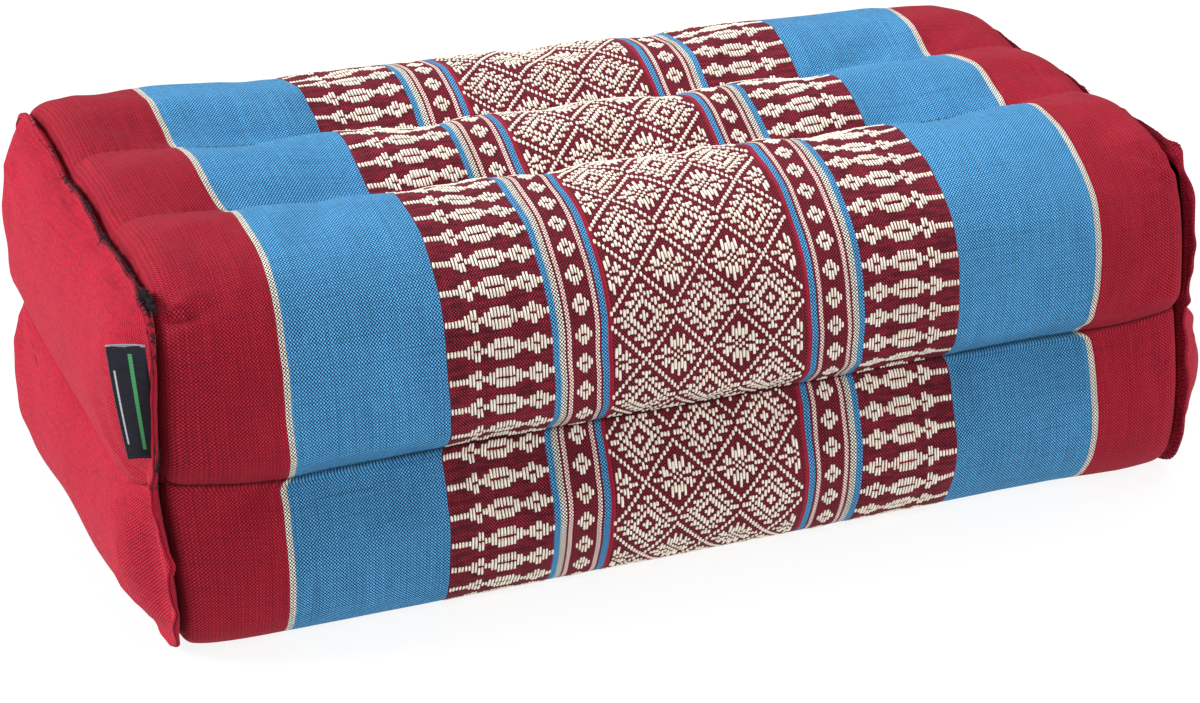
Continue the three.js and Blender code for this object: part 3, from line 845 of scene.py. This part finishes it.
# Section across the lip: outwards from the panel, and away from the wrap. Two layers with a split.
LIP_SECTION = np.array([
    (-0.6, -1.8), (-0.62, 0.2), (-0.75, 1.1), (-0.85, 1.9), (-0.78, 2.45), (-0.45, 2.75), (-0.12, 2.62),
    (0.02, 2.3), (0.16, 2.62), (0.5, 2.7), (0.82, 2.35), (0.88, 1.7), (0.85, 1.0), (1.2, 0.2), (1.6, -1.8),
])
# Where the lips are thicker, curled or pressed: v, reach in mm, how much wider, taller, swung outwards
LIP_KNOTS = {
    -1: ((86, 4.5, 0.5, 0.7, -0.3), (96, 4, 0.4, -0.2, 0.8), (30, 4, 0.5, 0.1, 1.0),
         (-66, 9, 0.4, 0.9, 0.3), (152, 5, 0.5, 0.1, 0.5), (198, 3.5, -0.2, 0.2, -1.2),
         (176, 20, 0.35, 0.15, 0.0), (183, 3.2, 0.2, 0.2, -1.4), (190, 3, 0.2, 0.1, 0.5)),
    1: ((87, 4.5, 1.0, 0.7, 0.9), (97, 3.5, -0.2, -0.35, -0.9), (30, 5, 0.4, 0.2, 0.4),
        (143, 5, 0.1, -0.3, -1.4)),
}
LIP_PHASE = {-1: 0.8, 1: 2.9}
LIP_PRESSED = {-1: 0.45, 1: 0.3}


def lip_frame(side, v):
    """The lip's foot at v, and its outward direction across the rim."""
    along = unit((end_loop(side, v + 2.5) - end_loop(side, v - 2.5))[..., 1:])
    # v runs from the back over the top to the front, so outwards is to the right of it.
    away = np.stack([0 * v, along[..., 1], -along[..., 0]], -1)
    foot = end_loop(side, v) + away * LIP_FOOT_OUT
    foot[..., 0] = side * LIP_FOOT_X
    return foot, away


def lip_shape(side, v):
    """How far the lip sways outwards at v, and how high and wide it is for its section."""
    turn = 2 * np.pi * (v - BACK_V) / GIRTH

    def wave(times, shift):
        return np.sin(times * turn + shift * LIP_PHASE[side])

    sway = (0.4 * wave(17, 1) + 0.3 * wave(31, 2) + 0.2 * wave(57, 1.1)) * (0.8 + 0.5 * wave(5, 1))
    height = 1 + 0.08 * wave(23, 1.7) + 0.07 * wave(41, 0.3)
    width = 1 + 0.1 * wave(29, 0.4) + 0.07 * wave(67, 1)
    for at, reach, wider, taller, swing in LIP_KNOTS[side]:
        near = bell(v - at, reach)
        width, height, sway = width + wider * near, height + taller * near, sway + swing * near
    return sway, height, width


def over_lip(side, v, across, up):
    """Points of the lip at v, and at places across and up its section."""
    v, across, up = np.broadcast_arrays(v, across, up)
    foot, away = lip_frame(side, v)
    sway, height, width = lip_shape(side, v)
    underneath = ramp(foot[..., 2], 6, 0)
    behind = ramp(foot[..., 1], 60, 80)
    pressed = ramp(foot[..., 2], 100, 110)
    lean = LIP_LEAN + 0.1 * underneath - 0.9 * behind + 0.5 * pressed
    across = across * width
    up = up * height * (1 - 0.2 * behind - LIP_PRESSED[side] * pressed) * (1 - 0.35 * underneath)
    bend = (np.maximum(up, 0) / LIP_TOP) ** 1.5
    out = up * np.cos(lean) - across * np.sin(lean)
    points = foot + away * out[..., None]
    points[..., 0] += side * (across * np.cos(lean) + up * np.sin(lean) + sway * bend)
    return above_floor(points, 0.05)


def lip(name, side):
    """One lip: its section led round the end."""
    vs = BACK_V + GIRTH * np.arange(LIP_STEPS)[:, None] / LIP_STEPS
    points = over_lip(side, vs, *LIP_SECTION.T)
    rows, columns = points.shape[:2]
    points = points.reshape(-1, 3)
    i, j = grid_corners(rows, columns, loop_rows=True)
    quads = (i % rows) * columns + j % columns
    faces = outwards(points, quads)
    places = np.stack([i / rows, j / columns], -1)
    if (faces != quads).any():
        places = places[:, ::-1]
    cloth = places * (GIRTH * 0.86, 11.0)
    return new_object(name, points, faces, red_cloth, cloth=cloth, OFBake=places * 0.98 + 0.01)


def tag():
    """The blank woven tag that stands out of the front edge of the left end."""
    rows, columns = 26, 13
    s, t = np.meshgrid(np.linspace(0, 1, columns), np.linspace(0, 1, rows))
    top, bottom = (TAG_SEAT[k] * (1 - s[..., None]) + TAG_FREE_EDGE[k] * s[..., None] for k in (0, 1))
    middle = top * (1 - t[..., None]) + bottom * t[..., None]
    middle[..., 1] += 0.9 * np.sin(np.pi * s) - 0.7 * np.sin(np.pi * t) * s
    middle[..., 0] -= 0.5 * np.sin(np.pi * t) * s
    half = unit(np.cross(np.gradient(middle, axis=1), np.gradient(middle, axis=0))) * TAG_THICKNESS / 2
    # Each row runs along the front and back again along the other face.
    points = np.concatenate([middle + half, (middle - half)[:, ::-1]], 1).reshape(-1, 3)
    j = np.arange(columns - 1)
    cut = np.stack([j, 2 * columns - 1 - j, 2 * columns - 2 - j, j + 1], -1)
    faces = np.concatenate([grid_quads(rows, 2 * columns), cut, turned(cut + (rows - 1) * 2 * columns)])
    place = np.stack([s * TAG_WIDTH, (1 - t) * TAG_HEIGHT], -1)
    places = np.concatenate([place, place[:, ::-1]], 1).reshape(-1, 2)
    layer = np.tile(np.repeat([0.02, 0.5], columns), rows)[:, None]
    faces = outwards(points, faces)
    bake = places / (2.5 * TAG_HEIGHT) + layer
    return new_object("blank_tag", points, faces, tag_material(), False, cloth=places, OFBake=bake)


# Raised figures: floats of thick cream cotton
FLOAT_WIDTH = 0.84
FLOAT_HEIGHT = 0.32
FLOAT_SIDE = 0.03
FLOAT_REACH = 0.1  # rounded ends reach a little past the charted stitches
FLOAT_ACROSS = np.array([-0.5, -0.33, 0.33, 0.5])
LONG_FLOAT = 1.6
SHORTEST_FLOAT = 0.7
NEAR_SEAM = 0.35

# Columns of one figure, as the (low, high) stretches of each column in mm round the row's middle
TICK = ((-0.95, 0.95),)
MEDIUM = ((-2.05, 2.05),)
SPLIT = ((-3.25, -0.35), (0.35, 3.25))
BEAD_COLUMNS = [TICK] * 6 + [MEDIUM] * 2 + [SPLIT] * 2 + [TICK] * 2 + [MEDIUM] * 2 + [SPLIT] * 6
BEAD_COLUMNS += [MEDIUM] * 2 + [TICK] * 2 + [MEDIUM] * 2 + [SPLIT] * 2 + [MEDIUM] * 2 + [TICK] * 2
BEAD_PITCH = 1.075
BEAD_EDGE = 87.7
ROSETTE_COLUMNS = [TICK, MEDIUM, SPLIT, SPLIT, MEDIUM, TICK]
ROSETTE_MIDDLE = 42.75
ROW_PITCH, BACK_ROW_PITCH = 9.3, 9.2
ROW_MARGIN = 2.5
# v of one row of figures, and of one diamond, on each roll from the back round to the front
ROW_STARTS = (BACK_V + 4, -272, -38.2 - 12 * BACK_ROW_PITCH, 4.0, 80.0, 158.5, SEAM_VS[-1] + 6)
DIAMOND_STARTS = (BACK_V + 6, -184, -44.5, 9, 114.5, 163.3, SEAM_VS[-1] + 10)


def kept_floats(found):
    """The floats (u, v0, v1) cut off at their roll's seams, without those too short to see."""
    u, v0, v1, low, high = np.array(found).T
    # The wefts run straight on while the side seams climb.
    middle = (v0 + v1) / 2
    shift = seam_climb(u) * np.copysign(1, middle) * near_side_seam(2 * np.abs(share_at(middle)))
    upper, lower = bell(middle - 108, 24), bell(middle - 185, 34)
    shift += np.abs(u) / 80 * np.where(u > 0, 2.3 * upper - lower, 0.8 * upper + 1.4 * lower)
    v0, v1 = np.maximum(v0 + shift, low + NEAR_SEAM), np.minimum(v1 + shift, high - NEAR_SEAM)
    return np.stack([u, v0, v1], -1)[v1 - v0 > SHORTEST_FLOAT]


def band_floats(columns):
    """The floats of one figure in every row, each roll with its own phase, from (u, stretches)."""
    found = []
    for (low, high), start in zip(ROLLS, ROW_STARTS):
        pitch = BACK_ROW_PITCH if low < 0 else ROW_PITCH
        first, end = (math.ceil((edge - start) / pitch) for edge in (low - ROW_MARGIN, high + ROW_MARGIN))
        for middle in (start + k * pitch for k in range(first, end)):
            for u, stretches in columns:
                found += [(u, middle + a, middle + b, low, high) for a, b in stretches]
    return kept_floats(found)


def bead_floats(side):
    return band_floats([(side * (BEAD_EDGE - (i + 0.5) * BEAD_PITCH), column)
                        for i, column in enumerate(BEAD_COLUMNS)])


def rosette_floats():
    return band_floats([(side * (ROSETTE_MIDDLE + i - 2.5), column)
                        for side in (-1, 1) for i, column in enumerate(ROSETTE_COLUMNS)])


STEP_V = 1.168
COLUMN_PITCH = 1.08
CENTRE_SHIFT = -0.6
REPEAT = 24 * STEP_V


def both(low, high):
    return [(low, high), (-high, -low)]


# The stretches of each column of the large diamond with its arms, and of the star between
# diamonds, in steps from their middle
DIAMOND_COLUMNS = {
    0: [(-1.5, 1.5), *both(3.4, 5.4), *both(6.4, 8.5)],
    1: [(-0.6, 0.6), *both(2.4, 4.4), *both(7.4, 8.55), *both(5.4, 6.5)],
    2: [*both(1.4, 3.4), *both(4.5, 6.45)],
    3: [*both(0.4, 2.4), *both(5.4, 6.5), *both(3.4, 4.6)],
    4: [(-1.4, 1.4), *both(2.5, 4.55)],
    5: [(-0.6, 0.6), *both(3.4, 4.6), *both(1.4, 2.5)],
    6: both(0.45, 2.5),
    7: [*both(1.45, 2.5), (-0.68, 0.68)],
    8: [(-0.68, 0.68)],
    9: [(-0.68, 0.68)],
    10: [],
}
for column, stretches in DIAMOND_COLUMNS.items():
    outline = both(12 - column - 0.67, 12 - column + 0.67)
    # The first stitch of a diamond along v is the last one of the diamond before it.
    stretches += outline if column else outline[:1]
STAR_COLUMNS = {
    0: [*both(2.2, 6.2), *both(0.4, 1.3)],
    1: [(-0.5, 0.5), *both(1.3, 4.2)],
    2: [*both(0.5, 1.3), *both(2.3, 5.3)],
    3: both(0.5, 2.3),
    4: both(0.5, 3.3),
    5: [*both(1.4, 2.4), (-0.6, 0.6)],
    6: [(-0.6, 0.6)],
    7: [(-0.6, 0.6)],
}


def figure(columns, centre, middle, first, last):
    """The floats of a figure with columns on both sides of its centre, from the first to the last."""
    return [((centre + way * c) * COLUMN_PITCH + CENTRE_SHIFT, middle + a * STEP_V, middle + b * STEP_V)
            for c, stretches in columns.items() for way in ((-1, 1) if c else (1,))
            if first <= centre + way * c <= last for a, b in stretches]


def centre_floats():
    """Diamonds in three columns and stars between them, in every roll."""
    found = []
    for (low, high), start in zip(ROLLS, DIAMOND_STARTS):
        for k in range(math.ceil((low - start) / REPEAT) - 1, math.ceil((high - start) / REPEAT) + 2):
            middle = start + k * REPEAT
            floats = []
            # Neighbours share the column between them.
            for centre, first in ((-20, -30), (0, -9), (20, 11)):
                floats += figure(DIAMOND_COLUMNS, centre, middle, first, 30)
            for centre in (-30, -10, 10, 30):
                floats += figure(STAR_COLUMNS, centre, middle + REPEAT / 2, -29, 29)
            found += [(*span, low, high) for span in floats]
    return kept_floats(found)


def tubes(groups):
    """Points, faces and places of many closed tubes. Each group has tubes alike, with four points
    at every station and then their two tips."""
    all_faces, total = [], 0
    for points, _ in groups:
        count, size = points.shape[:2]
        first, last = np.arange(4), np.arange(size - 6, size - 2)
        tips = [turned(ring(first, size - 2)), ring(last, size - 1)]
        faces = np.concatenate([grid_quads((size - 2) // 4, 4), *tips])
        starts = total + size * np.arange(count)[:, None, None]
        all_faces.append((starts + outwards(points[0], faces)).reshape(-1, 4))
        total += count * size
    joined = [np.concatenate([part.reshape(-1, part.shape[-1]) for part in parts]) for parts in zip(*groups)]
    return joined[0], np.concatenate(all_faces), joined[1]


def floats_object(name, floats, random, stout=1.0):
    """Low raised stitches on the wrap, each a closed shell with rounded ends."""
    u, v0, v1 = floats.T
    u = u + random.normal(0, 0.035, len(u))
    v0 = v0 - FLOAT_REACH + random.normal(0, 0.07, len(u))
    v1 = v1 + FLOAT_REACH + random.normal(0, 0.07, len(u))
    lean = random.normal(0, 0.04, len(u))
    width = stout * FLOAT_WIDTH * (1 + random.normal(0, 0.07, len(u)))
    height = FLOAT_HEIGHT * (1 + random.normal(0, 0.12, len(u)))
    columns = np.stack([u, v0, v1, lean, width, height])[..., None]
    groups = []
    for long in (False, True):
        u, v0, v1, lean, width, height = columns[:, (columns[2] - columns[1] > LONG_FLOAT)[:, 0] == long]
        reach = v1 - v0
        ends = np.clip(0.24 / reach, 0.05, 0.25) if long else 0 * reach + 0.22
        t = np.concatenate([ends, 0 * ends + 0.5, 1 - ends] if long else [ends, 1 - ends], 1)
        full = 1 - 0.12 * np.abs(t - 0.5) * 2
        at_u, at_v = u + lean * (t - 0.5) * 2, np.repeat(v0 + t * reach, 4, 1)
        across = (at_u[..., None] + (width * full)[..., None] * FLOAT_ACROSS).reshape(len(u), -1)
        up = np.where([False, True, True, False], (height * full)[..., None], FLOAT_SIDE).reshape(len(u), -1)
        across, at_v = np.concatenate([across, at_u[:, [0, -1]]], 1), np.concatenate([at_v, v0, v1], 1)
        up = np.concatenate([up, np.full((len(u), 2), FLOAT_SIDE)], 1)
        groups.append((on_wrap(across, at_v, up), np.stack([across, at_v], -1)))
    points, faces, places = tubes(groups)
    low, high = places.min(0), places.max(0)
    bake = 0.01 + 0.98 * (places - low) / (high - low)
    return new_object(name, points, faces, cream_yarn, cloth=places, OFBake=bake)


def threads_object(name, lines, radii, material):
    """Thin closed tubes along lines [count, stations, 3], each with its own radius."""
    count, stations = lines.shape[:2]
    along = unit(np.gradient(lines, axis=1))
    helper = np.where(np.abs(along[..., 2:]) < 0.8, (0.0, 0.0, 1.0), (1.0, 0.0, 0.0))
    first = unit(np.cross(along, helper))
    turn = np.arange(4)[:, None] * np.pi / 2
    spokes = first[:, :, None] * np.cos(turn) + np.cross(along, first)[:, :, None] * np.sin(turn)
    rings = lines[:, :, None] + spokes * radii[:, None, None, None]
    points = above_floor(np.concatenate([rings.reshape(count, -1, 3), lines[:, [0, -1]]], 1), 0.03)
    length = np.linalg.norm(np.diff(lines, axis=1), axis=-1).cumsum(1)
    length = np.concatenate([0 * length[:, :1], length], 1)
    v = np.concatenate([np.repeat(length, 4, 1), length[:, [0, -1]]], 1)
    u = np.broadcast_to([*np.tile(np.arange(4) * 0.3, stations), 0.4, 0.4], v.shape)
    cell = np.arange(count)[:, None]
    wide = math.ceil(math.sqrt(count))
    bake = np.stack([cell % wide + 0.1 + 0.8 * u / 1.2, cell // wide + 0.1 + 0.8 * v / v.max()], -1) / wide
    points, faces, places = tubes([(points, np.stack([u, v + 3.0 * cell], -1))])
    return new_object(name, points, faces, material, cloth=places, OFBake=bake.reshape(-1, 2))


# One overlock stitch round the lip's edge and back, as (across, up) in mm, a little over the cloth
STITCH = np.array([
    (-0.72, 0.5), (-0.85, 1.2), (-0.93, 1.9), (-0.8, 2.55), (-0.4, 2.86), (0.0, 2.72), (-0.4, 2.9),
    (-0.8, 2.6), (-0.95, 1.8), (-0.85, 1.1), (-0.72, 0.5),
])
STITCH_PITCH = 1.7
# The chains that link the stitches on the wrap's side: up, across
CHAINS = ((0.6, -0.82), (2.5, -0.85))
# How much of the left end's overlock shows, from v to v
STITCHED_V, STITCHED_SHARE = (-34, -26, 90, 92, 102, 108), (0.06, 1, 1, 0.7, 0.5, 0.03)
# Loose curls of overlock thread: v, spread in mm, how many, how far to the wrap's side
FUZZ = {
    -1: ((86, 2.4, 230, 1.4), (90, 1.6, 70, 1.8), (60, 14, 50, 0.3), (30, 4, 50, 0.3), (5, 20, 60, 0.3),
         (-30, 18, 50, 0), (100, 4, 14, 0.3), (142, 3, 45, 0), (150, 4, 12, 0)),
    1: ((84, 3, 12, 0), (10, 25, 16, 0), (130, 12, 12, 0), (180, 25, 6, 0)),
}
CURL_STATIONS = 6
CURL_SIZE = (0.9, 0.35, 0.35)


def overlock(side, random):
    """Lines of the overlock stitches and of the chains that link them on the wrap side."""
    count = int(GIRTH / STITCH_PITCH)
    starts = BACK_V + np.arange(count) * GIRTH / count
    shown = random.random(count) < np.interp(starts, STITCHED_V, STITCHED_SHARE)
    v = starts[shown | (side > 0), None] + np.linspace(0, STITCH_PITCH, len(STITCH))
    across = STITCH[:, 0] * (1 + random.normal(0, 0.03, (len(v), 1)))
    up = STITCH[:, 1] + random.normal(0, 0.06, (len(v), 1))
    swing = 0.22 * np.sin(np.linspace(0, 2 * np.pi, len(STITCH)))
    chains = [over_lip(side, v, place, height + swing) for height, place in CHAINS]
    return np.concatenate([over_lip(side, v, across, up), *chains])


def fuzz(side, random):
    """Lines of the loose curls of overlock thread."""
    lines = []
    t = np.linspace(0, 1, CURL_STATIONS)
    for v0, spread, count, aside in FUZZ[side]:
        v = v0 + random.normal(0, spread, count)
        across = random.uniform(-1.2, 0.6, count) - aside
        up = random.uniform(0.8, 3.3, count) - 0.5 * aside
        drift = random.normal(0, 1, (count, 3, 3))
        curl = sum(drift[:, k, None] * np.sin((k + 1) * np.pi * t / 1.6)[:, None] / (k + 1) for k in range(3))
        path = np.stack([v, across, up], -1)[:, None] + curl * CURL_SIZE
        lines.append(over_lip(side, *np.moveaxis(path, -1, 0)))
    return np.concatenate(lines)


SIDES = ((-1, "left"), (1, "right"))
red_cloth = end_material()
cream_yarn = yarn_material()
threads = {
    -1: thread_material("dark_overlock_thread", rgb(26, 18, 26), rgb(54, 36, 46)),
    1: thread_material("maroon_overlock_thread", rgb(112, 14, 34), rgb(150, 26, 52)),
}
random = np.random.default_rng(7)

wrap = body()
panels = {side: end_panel(f"end_cloth_{word}", side) for side, word in SIDES}
lips = {side: lip(f"edge_lip_{word}", side) for side, word in SIDES}
label = tag()
centre = centre_floats()
figures = [
    floats_object("bead_band_left", bead_floats(-1), random),
    floats_object("bead_band_right", bead_floats(1), random),
    floats_object("rosette_bands", rosette_floats(), random, 0.95),
    floats_object("centre_figures_front", centre[centre[:, 1] > 0], random, 1.16),
    floats_object("centre_figures_back", centre[centre[:, 1] <= 0], random, 1.1),
]
stitches = []
for side, word in SIDES:
    for name, lead, thin, thick in (("overlock", overlock, 0.1, 0.15), ("loose_thread", fuzz, 0.07, 0.13)):
        lines = lead(side, random)
        radii = random.uniform(thin, thick, len(lines))
        stitches.append(threads_object(f"{name}_{word}", lines, radii, threads[side]))

# Floor, light and camera, in metres
FLOOR_REACH = 6.0
FLOOR_GREY, FLOOR_GLOW = 0.13, 0.88
WORLD_LIGHT = 0.3
LIGHT_TARGET = np.array([0, 0, 0.06])

floor_mesh = bpy.data.meshes.new("white_floor")
corners = [(x * FLOOR_REACH, y * FLOOR_REACH, 0) for x, y in ((-1, -1), (1, -1), (1, 1), (-1, 1))]
floor_mesh.from_pydata(corners, [], [(0, 1, 2, 3)])
floor = bpy.data.objects.new("white_floor", floor_mesh)
bpy.context.scene.collection.objects.link(floor)
white = Nodes("white_surface", roughness=0.8)
white.set_shader({"Emission Color": (1, 1, 1, 1), "Emission Strength": FLOOR_GLOW})
floor_mesh.materials.append(white.finish((FLOOR_GREY, FLOOR_GREY, FLOOR_GREY, 1)))

world = bpy.data.worlds.new("studio")
world.use_nodes = True
world.node_tree.nodes["Background"].inputs["Color"].default_value = (1, 1, 1, 1)
world.node_tree.nodes["Background"].inputs["Strength"].default_value = WORLD_LIGHT
bpy.context.scene.world = world


def aimed(name, data, place, forward, roll=0.0):
    """A light or camera at a place, looking forward, with its top upwards but for its roll."""
    right = unit(np.cross(forward, (0, 0, 1)))
    up = np.cross(right, forward)
    c, s = math.cos(roll), math.sin(roll)
    obj = bpy.data.objects.new(name, data)
    bpy.context.scene.collection.objects.link(obj)
    axes = np.stack([right * c + up * s, up * c - right * s, -forward, place], 1)
    obj.matrix_world = Matrix([*axes.tolist(), (0, 0, 0, 1)])
    return obj


def soft_light(name, place, size, power):
    data = bpy.data.lights.new(name, "AREA")
    data.shape, data.size, data.energy = "DISK", size, power
    aimed(name, data, np.array(place), unit(LIGHT_TARGET - place))


soft_light("left", (-4.15, 1.55, 2.3), 2.5, 372)
soft_light("front", (1.1, -1.55, 1.3), 1.15, 24.5)
soft_light("above", (0.66, 0.06, 1.06), 0.7, 6.9)

# The photo's camera
AZIMUTH, ELEVATION, ROLL = math.radians(68.8229), math.radians(-23.1735), math.radians(-0.7471)
EYE = (-414.16, -1069.36, 530.26)
forward = np.array([math.cos(AZIMUTH), math.sin(AZIMUTH), math.tan(ELEVATION)]) * math.cos(ELEVATION)
camera_data = bpy.data.cameras.new("photo_camera")
camera_data.lens, camera_data.sensor_width, camera_data.sensor_fit = 109.75, 36, "HORIZONTAL"
camera_data.clip_start, camera_data.clip_end = 0.05, 50
bpy.context.scene.camera = aimed("photo_camera", camera_data, to_frame(EYE), forward, ROLL)
bpy.context.scene.view_settings.view_transform = "Standard"

# The frame

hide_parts("cushion_body")
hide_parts("end_panel_left")
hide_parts("end_panel_right")
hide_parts("edge_seam_left")
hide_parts("edge_seam_right")
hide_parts("label")
for piece in (wrap, *panels.values(), *lips.values(), label, *figures, *stitches):
    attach(piece, "root")
